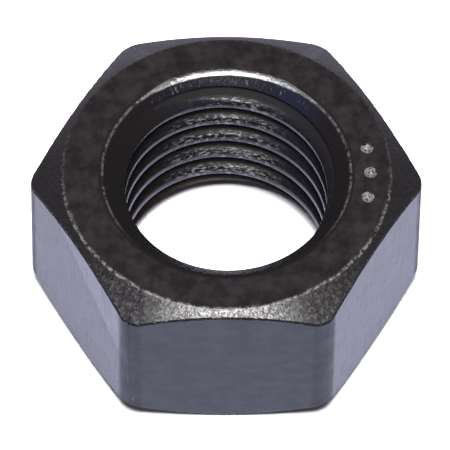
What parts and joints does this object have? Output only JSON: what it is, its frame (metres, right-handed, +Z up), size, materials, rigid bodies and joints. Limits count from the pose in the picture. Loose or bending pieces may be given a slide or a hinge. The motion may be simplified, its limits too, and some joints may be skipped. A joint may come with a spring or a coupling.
{
  "type": "hex nut",
  "caption": "Plain hexagon nut with chamfered corners, a countersunk bore and a coarse right-hand thread, for clamping on a bolt or stud.",
  "frame": {"origin": "middle of the bore on the bottom bearing face", "axes": "+Z up the bore, two corners of the hexagon on +X and -X, two flats facing +Y and -Y"},
  "size_m": [0.0272, 0.024, 0.0126],
  "materials": {
    "black_steel": "satin black oxide, lightly oiled"
  },
  "bodies": {
    "root": {"hex_nut": "black_steel"}
  },
  "joints": []
}
